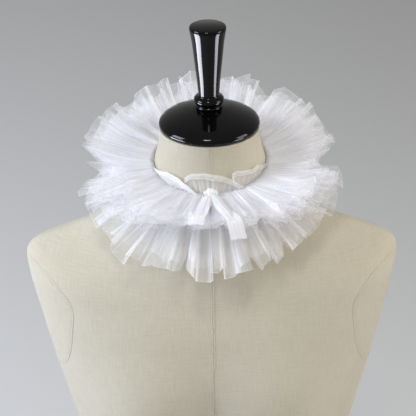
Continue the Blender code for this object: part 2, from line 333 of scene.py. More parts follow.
# The seams of the cover
# The linen is cut in panels, which meet at the centre front and back, at the sides and round the
# armholes. Each seam is pressed open, and a row of stitches on either side holds its edges down.
SEAM_PROFILE = (  # across the seam, and out from the linen
    (-0.0024, -0.00015),
    (-0.0014, 0.00032),
    (-0.0006, 0.00040),
    (0.0, -0.00005),
    (0.0006, 0.00040),
    (0.0014, 0.00032),
    (0.0024, -0.00015),
)
SEAM_STEP = 0.004
SEAM_FOOT = 0.018  # the height at which the seams end above the board
SEAM_TOP = 0.6935  # just under the cap
ARMHOLE_MIDDLE = 0.497
ARMHOLE_HALF_HEIGHT = 0.060
ARMHOLE_HALF_DEPTH = 0.070
ARMHOLE_SQUARENESS = 2.6
ARMHOLE_POINTS = 110
STITCH_ROW = 0.0017  # from the seam's middle
STITCH_LIFT = 0.0002  # of the thread's middle over the linen
STITCH_SIZES = {"Pitch": 0.0034, "Length": 0.0022, "Thickness": 0.00045}
STITCH_UNEVEN = (0.85, 1.12)  # shares of a stitch's size, least and greatest
STITCH_SEED = 4
THREAD_COLOUR = "#A9A38F"


def thread_material():
    """Matt three-cord cotton thread, a shade darker than the linen, which draws a fine dotted line."""
    made, tree, output = new_material("cotton_thread")
    shader = add_node(
        tree, "ShaderNodeBsdfPrincipled", {"Base Color": srgb(THREAD_COLOUR), "Roughness": 0.8}
    )
    tree.links.new(shader.outputs[0], output.inputs["Surface"])
    return made


linen_surface = BVHTree.FromObject(torso, bpy.context.evaluated_depsgraph_get())


def upright_path(turn, low, high):
    """Points up the linen at one turn."""
    return [torso_point(turn, z) for z in np.linspace(low, high, round((high - low) / SEAM_STEP))]


def armhole_path(side):
    """Points round one armhole, which is a squarish oval as seen from the side."""
    points = []
    for a in np.linspace(0, 2 * math.pi, ARMHOLE_POINTS):
        level = (math.cos(a), math.sin(a))
        across, up = (math.copysign(abs(c) ** (2 / ARMHOLE_SQUARENESS), c) for c in level)
        start = Vector((side, ARMHOLE_HALF_DEPTH * across, ARMHOLE_MIDDLE + ARMHOLE_HALF_HEIGHT * up))
        points.append(linen_surface.ray_cast(start, Vector((-side, 0, 0)))[0])
    return points


def seam_paths():
    """Every seam: the centre front and back, and for each side the side seam and the armhole."""
    armpit = ARMHOLE_MIDDLE - ARMHOLE_HALF_HEIGHT
    paths = [upright_path(turn, SEAM_FOOT, SEAM_TOP) for turn in (0.0, math.pi)]
    for side in (-1, 1):
        paths.append(upright_path(side * math.pi / 2, SEAM_FOOT, armpit))
        paths.append(armhole_path(side))
    return paths


def seam_frames(path):
    """Each point of a seam on the linen, with the directions out from the linen and across the seam."""
    frames = []
    for i, point in enumerate(path):
        along = (path[min(i + 1, len(path) - 1)] - path[max(i - 1, 0)]).normalized()
        place, out = linen_surface.find_nearest(point)[:2]
        frames.append((place, out, along.cross(out).normalized()))
    return frames


def make_seams(paths):
    """A low welt along each seam, with the line where the panels meet down its middle."""
    vertices, faces, flat = [], [], []
    for path in paths:
        first = len(vertices)
        for i, (place, out, across) in enumerate(seam_frames(path)):
            vertices += [place + across * a + out * rise for a, rise in SEAM_PROFILE]
            flat += [(a, i * SEAM_STEP) for a, _ in SEAM_PROFILE]
        strip = grid_faces(len(path), len(SEAM_PROFILE), closed=False)
        faces += [tuple(first + v for v in face) for face in strip]
    seams = new_piece("seams_pressed_open", vertices, faces, linen)
    set_cloth_uv(seams, flat)
    return seams


def stitch_tree(thread):
    """A node tree that lays small stitches end to end along a path, each a little uneven."""
    tree = bpy.data.node_groups.new("running_stitches", "GeometryNodeTree")
    tree.interface.new_socket("Path", in_out="INPUT", socket_type="NodeSocketGeometry")
    for name in STITCH_SIZES:
        tree.interface.new_socket(name, in_out="INPUT", socket_type="NodeSocketFloat")
    tree.interface.new_socket("Stitches", in_out="OUTPUT", socket_type="NodeSocketGeometry")
    given = add_node(tree, "NodeGroupInput").outputs
    curve = add_node(tree, "GeometryNodeMeshToCurve", {"Mesh": given["Path"]})
    spaced = add_node(
        tree,
        "GeometryNodeResampleCurve",
        {"Curve": curve.outputs[0], "Length": given["Pitch"]},
        mode="LENGTH",
    )
    tangent = add_node(tree, "GeometryNodeInputTangent")
    turned = add_node(
        tree, "FunctionNodeAlignRotationToVector", {"Vector": tangent.outputs[0]}, axis="Z"
    )
    sizes = add_node(
        tree,
        "ShaderNodeCombineXYZ",
        {"X": given["Thickness"], "Y": given["Thickness"], "Z": given["Length"]},
    )
    bead = add_node(tree, "GeometryNodeMeshUVSphere", {"Segments": 6, "Rings": 4, "Radius": 0.5})
    stitch = add_node(
        tree, "GeometryNodeTransform", {"Geometry": bead.outputs[0], "Scale": sizes.outputs[0]}
    )
    least, most = STITCH_UNEVEN
    uneven = add_node(tree, "FunctionNodeRandomValue", {2: least, 3: most, "Seed": STITCH_SEED})
    laid = add_node(
        tree,
        "GeometryNodeInstanceOnPoints",
        {
            "Points": spaced.outputs[0],
            "Instance": stitch.outputs[0],
            "Rotation": turned.outputs[0],
            "Scale": uneven.outputs[1],
        },
    )
    real = add_node(tree, "GeometryNodeRealizeInstances", {"Geometry": laid.outputs[0]})
    coloured = add_node(
        tree, "GeometryNodeSetMaterial", {"Geometry": real.outputs[0], "Material": thread}
    )
    add_node(tree, "NodeGroupOutput", {"Stitches": coloured.outputs[0]})
    return tree


def make_stitches(paths):
    """Both rows of stitches of every seam, as one plain mesh."""
    thread = thread_material()
    vertices, edges = [], []
    for frames in map(seam_frames, paths):
        for row in (-STITCH_ROW, STITCH_ROW):
            first = len(vertices)
            vertices += [
                tuple(place + across * row + out * STITCH_LIFT) for place, out, across in frames
            ]
            edges += [(first + i, first + i + 1) for i in range(len(frames) - 1)]
    lines = bpy.data.meshes.new("stitch_lines")
    lines.from_pydata(vertices, edges, [])
    stitches = bpy.data.objects.new("seam_stitches", lines)
    bpy.context.scene.collection.objects.link(stitches)
    modifier = stitches.modifiers.new("stitches", "NODES")
    modifier.node_group = stitch_tree(thread)
    for socket in modifier.node_group.interface.items_tree:
        if socket.name in STITCH_SIZES:
            modifier[socket.identifier] = STITCH_SIZES[socket.name]
    sewn = stitches.evaluated_get(bpy.context.evaluated_depsgraph_get())
    plain = bpy.data.meshes.new_from_object(sewn)
    stitches.modifiers.clear()
    stitches.data = plain
    plain.shade_smooth()
    return stitches


all_seams = seam_paths()
for piece in (make_seams(all_seams), make_stitches(all_seams)):
    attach(piece, "root")
    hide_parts("form_torso")


# The neck cap and the finial
# Both are turned wood, sprayed with black lacquer and polished, so they mirror the lights. The cap
# closes the top of the neck, and the finial is screwed down on it.
CAP_RIM_HEIGHT = 0.700
CAP_PROFILE = (  # out from the neck's axis, and up from the rim
    (0.0000, -0.0046),
    (0.0470, -0.0046),
    (0.0495, -0.0038),
    (0.0504, -0.0024),
    (0.0506, -0.0006),
    (0.0502, 0.0012),
    (0.0488, 0.0030),
    (0.0446, 0.0060),
    (0.0400, 0.0082),
    (0.0340, 0.0106),
    (0.0280, 0.0126),
    (0.0220, 0.0142),
    (0.0170, 0.0152),
    (0.0150, 0.0158),
    (0.0140, 0.0160),
    (0.0000, 0.0160),
)
FINIAL_PROFILE = (  # measured like the cap's
    (0.0000, 0.0164),
    (0.0122, 0.0164),
    (0.0133, 0.0169),
    (0.0137, 0.0178),
    (0.0133, 0.0188),
    (0.0124, 0.0196),
    (0.0138, 0.0210),
    (0.0148, 0.0226),
    (0.0151, 0.0246),
    (0.0147, 0.0264),
    (0.0134, 0.0279),
    (0.0112, 0.0286),
    (0.0106, 0.0296),
    (0.0105, 0.0310),
    (0.0115, 0.0430),
    (0.0127, 0.0550),
    (0.0143, 0.0700),
    (0.0160, 0.0860),
    (0.0176, 0.0955),
    (0.0181, 0.0985),
    (0.0181, 0.1003),
    (0.0176, 0.1016),
    (0.0164, 0.1022),
    (0.0000, 0.1023),
)
TURNED_SIDES = 128
LACQUER_COLOUR = "#040405"
LACQUER_GLOSS = 0.25


def lacquer_material():
    """Black nitrocellulose lacquer over turned wood: mirror gloss, with the faintest ripple."""
    made, tree, output = new_material("black_lacquered_wood")
    place = add_node(tree, "ShaderNodeTexCoord").outputs["Object"]
    ripple = add_node(tree, "ShaderNodeTexNoise", {"Vector": place, "Scale": 60.0, "Detail": 1.0})
    bump = add_node(
        tree, "ShaderNodeBump", {"Height": ripple.outputs["Fac"], "Distance": 0.0002, "Strength": 0.25}
    )
    dust = add_node(tree, "ShaderNodeTexNoise", {"Vector": place, "Scale": 900.0, "Detail": 2.0})
    dull = add_node(
        tree,
        "ShaderNodeMapRange",
        {"Value": dust.outputs["Fac"], "From Min": 0.3, "From Max": 0.8, "To Min": 0.05, "To Max": 0.11},
    )
    shader = add_node(
        tree,
        "ShaderNodeBsdfPrincipled",
        {
            "Base Color": srgb(LACQUER_COLOUR),
            "Roughness": dull.outputs[0],
            "IOR": 1.45,
            "Specular IOR Level": LACQUER_GLOSS,
            "Normal": bump.outputs[0],
        },
    )
    tree.links.new(shader.outputs[0], output.inputs["Surface"])
    return made


lacquer = lacquer_material()


def make_turned(name, profile):
    """A solid turned on the neck's axis, from the radius and height of each point of its profile."""
    form = bmesh.new()
    points = [form.verts.new((radius, 0.0, CAP_RIM_HEIGHT + height)) for radius, height in profile]
    edges = [form.edges.new(pair) for pair in zip(points, points[1:])]
    bmesh.ops.spin(
        form,
        geom=points + edges,
        cent=(0.0, 0.0, 0.0),
        axis=(0.0, 0.0, 1.0),
        angle=2 * math.pi,
        steps=TURNED_SIDES,
        use_merge=True,
    )
    bmesh.ops.remove_doubles(form, verts=form.verts[:], dist=1e-6)
    bmesh.ops.recalc_face_normals(form, faces=form.faces[:])
    made = new_piece(name, [], [], lacquer)
    form.to_mesh(made.data)
    form.free()
    shade_crisply(made.data)
    return made


for name, node, profile in (
    ("cap_turned", "neck_cap", CAP_PROFILE),
    ("finial_turned", "finial", FINIAL_PROFILE),
):
    turned = make_turned(name, profile)
    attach(turned, "root")
    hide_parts(node)


# The base board
# A lacquered board under the torso, cut to its outline and rounded over at both edges.
BOARD_THICKNESS = 0.014
BOARD_SHRINK = 0.004  # how far it stands in from the torso's outline
BOARD_ROUND = 0.003
BOARD_ARC_STEPS = 5
BOARD_SIDES = 180


def make_board():
    """The board, from its underside up: level outlines, drawn in where its edges are rounded."""
    turns = np.linspace(0, 2 * math.pi, BOARD_SIDES, endpoint=False)
    outline = [torso_point(turn, 0.0, -BOARD_SHRINK) for turn in turns]
    arc = [math.pi / 2 * k / BOARD_ARC_STEPS for k in range(BOARD_ARC_STEPS + 1)]
    levels = [(BOARD_ROUND * (1 - math.sin(a)), BOARD_ROUND * (1 - math.cos(a))) for a in arc]
    levels += [(inset, BOARD_THICKNESS - height) for inset, height in reversed(levels)]
    vertices = []
    for inset, height in levels:
        for point in outline:
            flat = Vector((point.x, point.y))
            flat *= 1 - inset / flat.length
            vertices.append((flat.x, flat.y, height))
    faces = grid_faces(len(levels), BOARD_SIDES, closed=True)
    faces.append(tuple(reversed(range(BOARD_SIDES))))
    faces.append(tuple(range(len(vertices) - BOARD_SIDES, len(vertices))))
    made = new_piece("board_rounded", vertices, faces, lacquer)
    shade_crisply(made.data)
    return made


board = make_board()
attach(board, "root")
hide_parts("base_board")


# The neck band and its heading
# A strip of crisp white bridal tulle is gathered round the neck by a thread. Its upper edge is turned
# over in a narrow hem and stands up as a heading, and its two ends lap at the centre front.
GATHER_HEIGHT = (0.641, 0.648, 0.655)  # of the gathering line at the front, side and back
BAND_CLEARANCE = 0.0014  # from the widest of the neck inside the band to the middle of its wall
BAND_BELOW = 0.0080  # of the band's lower edge, under the gathers
BAND_TOP = 0.0020  # over the gathers, where the heading begins to lean in
BAND_ROWS = 4
HEADING_CLEARANCE = (0.0034, 0.0017, 0.0017)  # from the neck, at the front, side and back
BAND_WALL = 0.0010
SEAM_GAP = 0.0004  # between pieces that are sewn or tied together
HEADING_LENGTH = 0.44  # of the cut tulle, before it is gathered
HEADING_FOOT = 0.016  # where the heading begins, across the flat strip
HEADING_CREASE = 0.036  # where it is turned over, across the flat strip
HEADING_COLUMNS = 1300
HEADING_ROWS = 12
HEADING_FOLDS = 100
HEADING_WAVES = 22
HEADING_SEED = 21
HEADING_DRAG = 0.05  # how far the folds lean from the knot, as a share of the length
BAND_FOLD_RISE = 0.0004
HEADING_FOLD_RISE = 0.0014
HEADING_DENSE_FROM = (230.0, 300.0)  # degrees round the neck, between which the tulle gets denser
HEADING_THINNESS = (1.0, 0.2)  # shares of its sheerness before and past them
HEADING_WAVE_RISE = 0.0015
HEADING_SHARE = (1.0, 0.5, 0.6)  # of the folds and the hem at the front, side and back
NECK_RADIUS_MM = 60  # roughly, to space the heading's columns evenly along its edge
EDGE_ROUNDING = 15  # columns over which the corners of an edge are rounded
FOLD_ROUNDING = 5  # and those of a fold
WAVE_ROUNDING = 31  # and those of a broad wave
BAND_SHEER = 0.25  # from 0, where the tulle is at its densest, to 1, at its thinnest
HEADING_SHEER = (0.30, 0.75)  # at the heading's foot and at its top
HEM_SHEER = 0.70
HEM_STEP = 0.001
HEM_PROFILE = (  # out from the heading's edge and up from it, and how brightly the roll shows there
    (0.0006, 0.0007, 0.8),
    (0.0014, 0.0006, 0.8),
    (0.0018, -0.0004, 0.3),
    (0.0020, -0.0018, 0.1),
    (0.0021, -0.0034, 0.3),
    (0.0021, -0.0048, 1.0),
)
# The heading's edge from its inner end to its outer one: degrees round the neck, millimetres above
# the gathers, and millimetres out from a plain heading. It doubles back once, in a flat pleat.
HEADING_EDGE = (
    (-27.0, 20.0, -0.4),
    (-20.0, 27.0, 0.0),
    (-6.0, 28.5, 0.4),
    (8.0, 26.5, 0.8),
    (20.0, 21.0, 1.2),
    (30.0, 12.0, 1.2),
    (36.0, 8.6, 1.0),
    (31.0, 9.5, 0.4),
    (23.5, 18.0, -0.4),
    (22.5, 25.0, -0.8),
    (28.0, 26.5, -0.8),
    (38.0, 24.0, -0.6),
    (47.0, 21.5, -0.2),
    (54.0, 23.5, 0.0),
    (62.0, 18.5, 0.0),
    (76.0, 12.5, 0.0),
    (95.0, 9.5, 0.0),
    (125.0, 11.0, 0.0),
    (150.0, 13.0, 0.0),
    (180.0, 17.5, 0.0),
    (210.0, 14.0, 0.0),
    (235.0, 11.5, 0.0),
    (262.0, 9.5, 0.0),
    (284.0, 11.0, 0.0),
    (300.0, 16.5, 0.2),
    (313.0, 20.5, 0.8),
    (328.0, 20.0, 1.6),
    (337.0, 15.5, 2.2),
    (347.0, 9.0, 2.6),
    (354.0, 6.4, 2.8),
)
TULLE_COLOUR = "#F5F5F8"
TULLE_ROOT_ALPHA = 0.86  # how much of the light the net stops where it is gathered
TULLE_EDGE_ALPHA = 0.20  # and where it lies single
TULLE_FOLD_ALPHA = 0.22  # more along a fold
TULLE_CUT_ALPHA = 0.18  # more along a cut edge
TULLE_GLOW = 0.42  # the share of its light that shines through the threads
TULLE_NET = 0.0009  # from one cell of the net to the next


def tulle_material():
    """Nylon bobbinet tulle, heat-set crisp: white and sheer, with six-sided holes.

    It looks denser where it is gathered, along its folds and along its cut edges.
    """
    made, tree, output = new_material("white_nylon_tulle")
    cloth = add_node(tree, "ShaderNodeUVMap", uv_map="cloth").outputs["UV"]
    sides = []
    for turn in (0.0, math.pi / 3, 2 * math.pi / 3):
        turned = add_node(tree, "ShaderNodeMapping", {"Vector": cloth, "Rotation": (0.0, 0.0, turn)})
        wave = add_node(
            tree,
            "ShaderNodeTexWave",
            {"Vector": turned.outputs[0], "Scale": wave_scale(TULLE_NET), "Distortion": 0.0},
            bands_direction="X",
        )
        sides.append(wave.outputs["Fac"])
    two = add_node(tree, "ShaderNodeMath", {0: sides[0], 1: sides[1]}, operation="ADD")
    cells = add_node(tree, "ShaderNodeMath", {0: two.outputs[0], 1: sides[2]}, operation="ADD")
    net_share = add_node(
        tree,
        "ShaderNodeMapRange",
        {"Value": cells.outputs[0], "From Min": 0.8, "From Max": 1.9, "To Min": 1.3, "To Max": 0.85},
    )
    sheer = add_node(tree, "ShaderNodeAttribute", attribute_name="sheer").outputs["Fac"]
    fold = add_node(tree, "ShaderNodeAttribute", attribute_name="fold").outputs["Fac"]
    cut = add_node(tree, "ShaderNodeAttribute", attribute_name="cut_edge").outputs["Fac"]
    plain = add_node(
        tree,
        "ShaderNodeMapRange",
        {"Value": sheer, "To Min": TULLE_ROOT_ALPHA, "To Max": TULLE_EDGE_ALPHA},
        interpolation_type="SMOOTHSTEP",
    )
    with_net = add_node(
        tree, "ShaderNodeMath", {0: plain.outputs[0], 1: net_share.outputs[0]}, operation="MULTIPLY"
    )
    with_folds = add_node(
        tree,
        "ShaderNodeMath",
        {0: fold, 1: TULLE_FOLD_ALPHA, 2: with_net.outputs[0]},
        operation="MULTIPLY_ADD",
    )
    alpha = add_node(
        tree,
        "ShaderNodeMath",
        {0: cut, 1: TULLE_CUT_ALPHA, 2: with_folds.outputs[0]},
        operation="MULTIPLY_ADD",
        use_clamp=True,
    )
    threads_shader = add_node(
        tree,
        "ShaderNodeBsdfPrincipled",
        {
            "Base Color": srgb(TULLE_COLOUR),
            "Roughness": 0.75,
            "Specular IOR Level": 0.3,
            "Sheen Weight": 0.3,
        },
    )
    glow = add_node(tree, "ShaderNodeBsdfTranslucent", {"Color": srgb(TULLE_COLOUR)})
    body = add_node(
        tree,
        "ShaderNodeMixShader",
        {0: TULLE_GLOW, 1: threads_shader.outputs[0], 2: glow.outputs[0]},
    )
    holes = add_node(tree, "ShaderNodeBsdfTransparent")
    cloth_shader = add_node(
        tree, "ShaderNodeMixShader", {0: alpha.outputs[0], 1: holes.outputs[0], 2: body.outputs[0]}
    )
    tree.links.new(cloth_shader.outputs[0], output.inputs["Surface"])
    return made


tulle = tulle_material()


def around(values, angle):
    """Reads (front, side, back) values smoothly at an angle round the neck."""
    front, side, back = values
    lean = np.cos(angle)
    return side + (front - back) / 2 * lean + ((front + back) / 2 - side) * lean**2


def neck_radius(angle, height):
    """How far the linen lies from the neck's axis, at an angle round it."""
    section = section_at(height)
    depth = section.front if math.cos(angle) > 0 else section.back
    power = section.squareness
    reach = abs(math.sin(angle) / section.half_width) ** power + abs(math.cos(angle) / depth) ** power
    return reach ** (-1 / power)


def neck_radii(angles, heights):
    """The same for a list of places."""
    return np.array([neck_radius(a, h) for a, h in zip(angles, heights)])


def softened(values, width):
    """A moving mean over an odd number of values, which rounds the corners of a fold."""
    kernel = np.hanning(width + 2)[1:-1]
    padded = np.pad(values, width // 2, mode="edge")
    return np.convolve(padded, kernel / kernel.sum(), mode="valid")


def random_folds(shares, folds, chance, least=0.35, most=1.0):
    """Uneven sharp folds along a cloth: alternately up and down, from -1 to 1."""
    widths = [chance.uniform(0.4, 1.6) for _ in range(2 * folds)]
    places = np.cumsum([0.0] + widths) / sum(widths)
    rises = [(-1) ** k * chance.uniform(least, most) for k in range(2 * folds + 1)]
    return np.interp(shares, places, rises)


def fold_lines(swell):
    """How sharply a row of cloth bends at each point, from 0 to 1."""
    bend = np.abs(np.gradient(np.gradient(swell)))
    return np.clip(bend / (np.percentile(bend, 97) + 1e-9), 0, 1)


def new_tulle(name, rows, flat, sheer, fold, cut, closed=False):
    """A piece of tulle through rows of points, with the attributes that its material reads."""
    points = np.asarray(rows)
    faces = grid_faces(points.shape[0], points.shape[1], closed=closed)
    piece = new_piece(name, points.reshape(-1, 3), faces, tulle)
    set_cloth_uv(piece, np.asarray(flat).reshape(-1, 2))
    for attribute, values in (("sheer", sheer), ("fold", fold), ("cut_edge", cut)):
        layer = piece.data.attributes.new(attribute, "FLOAT", "POINT")
        layer.data.foreach_set("value", np.asarray(values, dtype=np.float32).ravel())
    return piece


def polar_points(radii, angles, heights):
    """Points from their distances from the neck's axis, angles round it, and heights."""
    return np.stack([radii * np.sin(angles), -radii * np.cos(angles), heights * np.ones_like(radii)], 1)


def make_heading():
    """The band and its heading: rows from the lower edge up to the hem and over it."""
    chance = random.Random(HEADING_SEED)
    shares = np.linspace(0, 1, HEADING_COLUMNS + 1)
    edge = np.array(HEADING_EDGE)
    steps = np.hypot(np.radians(np.diff(edge[:, 0])) * NECK_RADIUS_MM, np.diff(edge[:, 1]))
    places = np.concatenate([[0.0], np.cumsum(steps)])
    places /= places[-1]
    read = [softened(np.interp(shares, places, column), EDGE_ROUNDING) for column in edge.T]
    angles, tops, outs = np.radians(read[0]), read[1] / 1000, read[2] / 1000
    gathers = around(GATHER_HEIGHT, angles)
    band = neck_radii(angles, gathers - BAND_BELOW) + BAND_CLEARANCE
    upper = neck_radii(angles, gathers + tops) + around(HEADING_CLEARANCE, angles) + outs
    folds = softened(random_folds(shares, HEADING_FOLDS, chance), FOLD_ROUNDING)
    waves = softened(random_folds(shares, HEADING_WAVES, chance), WAVE_ROUNDING)
    swing = softened(random_folds(shares, HEADING_WAVES, chance, least=0.0), WAVE_ROUNDING)
    thin = np.interp(np.degrees(angles), HEADING_DENSE_FROM, HEADING_THINNESS)
    hem_share = around(HEADING_SHARE, angles)
    rows, flat, sheer, fold, cut = [], [], [], [], []

    def add_row(level, radii, swell, across, sheerness, light=None, is_cut=False):
        """One row along the strip. Its light is that of its folds, unless the hem gives it one."""
        rows.append(polar_points(radii + swell, angles, gathers + level))
        flat.append(np.stack([shares * HEADING_LENGTH, np.full_like(shares, across)], 1))
        sheer.append(thin * sheerness)
        fold.append(fold_lines(swell) if light is None else np.full_like(shares, light))
        cut.append(np.full_like(shares, 1.0 if is_cut else 0.0))

    for level in np.linspace(-BAND_BELOW, BAND_TOP, BAND_ROWS):
        add_row(level, band, folds * BAND_FOLD_RISE, level + BAND_BELOW, BAND_SHEER)
    for t in np.linspace(0, 1, HEADING_ROWS)[1:]:
        level = BAND_TOP + (tops - BAND_TOP) * t
        ease = math.sin(math.pi / 2 * t)
        fullness = math.sin(math.pi * t**0.7) ** 0.5
        rise = BAND_FOLD_RISE + (HEADING_FOLD_RISE - BAND_FOLD_RISE) * fullness
        dragged = shares - HEADING_DRAG * np.sin(angles) * t
        swell = np.interp(dragged, shares, folds) * rise * (0.75 + 0.25 * swing)
        swell += np.interp(dragged, shares, waves) * HEADING_WAVE_RISE * t
        swell *= hem_share
        across = HEADING_FOOT + (HEADING_CREASE - HEADING_FOOT) * t
        add_row(level, band + (upper - band) * ease, swell, across, np.interp(t, (0, 1), HEADING_SHEER))
    for i, (out, up, light) in enumerate(HEM_PROFILE, start=1):
        across = HEADING_CREASE + HEM_STEP * i
        is_cut = i == len(HEM_PROFILE)
        add_row(tops + up * hem_share, upper + out * hem_share, swell, across, HEM_SHEER, light, is_cut)
    return new_tulle("heading_gathered", rows, flat, sheer, fold, cut)


heading = make_heading()
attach(heading, "root")
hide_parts("neck_band")


# The gathered strips of the ruff
# Three lengths of the same tulle. Each is laid double and gathered along its middle, so that it
# gives an upper and a lower frill of two plies. They are sewn on round the band, one over the other.
STRIP_LENGTH = 0.93  # of the cut tulle, before it is gathered
FRILL_WIDTH = 0.066  # from the gathers to the cut edge
ROOT_WAVE = 0.0010
EDGE_WAVE = 0.0095
FRILL_DROOP = 0.004
STRIP_ROOT_STEP = 0.0014  # from one strip's gathers to the next, outwards
HALF_END_GAP = math.radians(0.5)  # between a strip's two ends, at the centre front
WAVES = 29
SIDE_WIDTHS = (0.22, 0.32)  # shares of a wave, least and greatest
FLAT_WIDTHS = (0.14, 0.42)
CREST_RISES = (0.60, 0.90)  # shares of the greatest wave
FLAT_TILT = 0.10  # how far one end of a crest or trough can stand out past its middle
PLEAT_SEED = 7
# Half the height of each strip's gathers, then the slopes of its upper and its lower frill in degrees
# above the horizon, at the front, side and back
Strip = namedtuple("Strip", "name half_root upper lower")
STRIPS = (
    Strip("strip_1", 0.0062, (8.6, 25.0, 46.0), (-34.0, -14.0, -20.0)),
    Strip("strip_2", 0.0038, (8.4, 18.0, 36.0), (7.8, -5.0, -9.0)),
    Strip("strip_3", 0.0014, (8.2, 10.0, 22.0), (8.0, 2.0, 4.0)),
)

# How the sheer plies differ from the plain wall that stands for them
STRIP_COLUMNS = 34 * WAVES
STRIP_ROWS = 15
CUT_EDGE = 0.016  # how much of a frill's width the bright cut edge takes, as a share
ROOT_LEAN = (0.0028, 0.0115, 0.0095)  # of the upper frills' gathers on the neck: front, side and back
ROOT_RISE = (0.0022, 0.0068, 0.0045)  # of the same gathers along the heading
ROOT_END = 0.1  # the share of a frill that is kept clear of the neck
ROOT_CLEARANCE = BAND_CLEARANCE / 3
PLY_REACH = (1.0, 0.86)
PLY_STEP = 0.0006  # from one ply's gathers to the other's, outwards
PLY_SEED = 3
FLAP_RISES = (0.12, 0.95)  # shares of the plain wall's wave, least and greatest
FLAP_TILTS = (3.5, 8.5, 8.0)  # degrees either way at the front, side and back
FLAP_CURLS = (0.0018, 0.0060, 0.0060)  # up or down at the cut edge, at the front, side and back
FLAP_RAGGED = 0.08
FLAP_GROUP = 3  # flats of a wave that are cut and lean together
FLAP_LEAN = math.radians(2.6)
PLY_SPREAD = math.radians(3.2)
FINE_FOLDS = 150
FINE_ROOT = 0.0007
FINE_MIDDLE = 0.0009
FINE_FADE_FROM = 0.35  # shares of the frill's width, along which the fine folds open out flat
FINE_FADE_OVER = 0.55
BROAD_FOLDS = 60
BROAD_EDGE = 0.0010
BROAD_ROUNDING = 9
# How a frill is dressed: its reach as a share, how many degrees it is lifted over the plain wall, its
# waves' and its fine folds' height as shares, how far a pleat hangs over its sides, how deep the gaps
# between pleats open, and how brightly the pleats' creases show
Dressing = namedtuple("Dressing", "reach lift waves fine overhang gap crease")
USUAL_DRESSING = Dressing(1.00, 0.0, 1.00, 0.9, 0.34, 0.0, 1.0)
FRONT_DRESSINGS = (  # of the upper and the lower frill of each strip at the centre front
    (Dressing(0.96, 0.0, 0.50, 0.8, 0.30, 0.0, 1.0), Dressing(1.09, 0.0, 1.00, 0.2, 0.16, 0.50, 3.2)),
    (Dressing(0.90, 1.0, 0.45, 0.7, 0.30, 0.0, 1.0), Dressing(0.88, 3.5, 0.45, 0.5, 0.30, 0.0, 1.0)),
    (Dressing(0.92, 0.5, 0.45, 0.7, 0.30, 0.0, 1.0), Dressing(0.87, 3.0, 0.45, 0.5, 0.30, 0.0, 1.0)),
)
# Where pleats at the front stand apart: degrees round the neck, half of the gap's width, and its depth
# as a share
PLEAT_GAPS = (
    (5.8, 1.5, 0.25),
    (18.5, 1.8, 0.5),
    (28.0, 2.2, 0.9),
    (37.5, 2.0, 0.5),
    (346.0, 2.0, 1.0),
)
# How far the frills reach, as a share of their cut width: degrees round the neck, and the share
REACH = (
    (0.0, 0.98),
    (9.0, 1.02),
    (30.0, 1.00),
    (60.0, 0.94),
    (90.0, 0.94),
    (120.0, 0.95),
    (140.0, 0.86),
    (155.0, 0.96),
    (168.0, 1.06),
    (182.0, 0.97),
    (196.0, 1.00),
    (212.0, 0.91),
    (240.0, 0.96),
    (270.0, 1.00),
    (303.0, 0.92),
    (322.0, 1.00),
    (337.0, 1.06),
    (351.0, 0.96),
    (360.0, 0.98),
)
# Where the frills part: degrees round the neck, how far that moves for each degree that a frill
# slopes upwards, half of the parting's width in degrees, and how deep it cuts as a share
PARTINGS = (
    (26.0, 0.0, 4.0, 0.10),
    (58.0, 0.3, 5.0, 0.16),
    (101.5, -1.1, 12.0, 0.52),
    (146.0, 0.0, 6.0, 0.20),
    (203.0, 0.0, 6.0, 0.18),
    (228.0, 0.0, 5.0, 0.14),
    (264.0, 1.1, 15.0, 0.60),
    (318.0, -0.3, 5.0, 0.14),
    (345.0, 0.0, 4.0, 0.08),
)


def strip_angle(share):
    """The angle round the neck at a share of a strip's length."""
    return HALF_END_GAP + share * 2 * (math.pi - HALF_END_GAP)


def pleat_table():
    """The corners of a strip's waves: the share of the way round, the rise, and the overhang."""
    chance = random.Random(PLEAT_SEED)
    steps = []
    for k in range(2 * WAVES):
        sign = 1.0 if k % 2 == 0 else -1.0
        rise = chance.uniform(*CREST_RISES)
        tilt = chance.uniform(-FLAT_TILT, FLAT_TILT)
        steps.append((chance.uniform(*SIDE_WIDTHS), sign * (rise + tilt), -1.0))
        steps.append((chance.uniform(*FLAT_WIDTHS), sign * (rise - tilt), 1.0))
    steps.append((SIDE_WIDTHS[0], 0.0, 0.0))
    total = sum(step[0] for step in steps)
    table = [(0.0, 0.0, 0.0)]
    reach = 0.0
    for width, rise, overhang in steps:
        reach += width
        table.append((reach / total, rise, overhang))
    return np.array(table)


def random_steps(shares, table, chance, group=1):
    """One random value from -1 to 1 for each group of the waves' flats, joined by short slopes."""
    values = np.repeat([chance.uniform(-1, 1) for _ in range(len(table) // 2)], 2 * group)[: len(table)]
    return np.interp(shares, table[: len(values), 0], values)


def pleat_gaps(angles):
    """How far the gaps between pleats are open at each angle, from 0 to 1."""
    opened = np.zeros_like(angles)
    for place, half_width, depth in PLEAT_GAPS:
        off = np.abs(np.degrees(angles) - place) / half_width
        opened = np.maximum(opened, depth * np.clip(1 - off, 0, 1))
    return opened


def dressed(dressing, angles):
    """A frill's dressing at each angle: its own at the front, and the usual one at the sides and back."""
    near = np.clip(np.cos(angles), 0, 1)
    return Dressing(*(usual + (own - usual) * near for own, usual in zip(dressing, USUAL_DRESSING)))


def parting(angles, slopes):
    """How much shorter the frills are at each angle, and how far their cloth leans away from it."""
    shorter = np.zeros_like(angles)
    leaning = np.zeros_like(angles)
    for place, drift, half_width, depth in PARTINGS:
        off = (np.degrees(angles) - place - drift * slopes) / half_width
        shorter += depth * np.clip(1 - np.abs(off), 0, 1)
        leaning += np.radians(half_width) * depth * off * np.exp(-(off**2))
    return softened(shorter, EDGE_ROUNDING), leaning


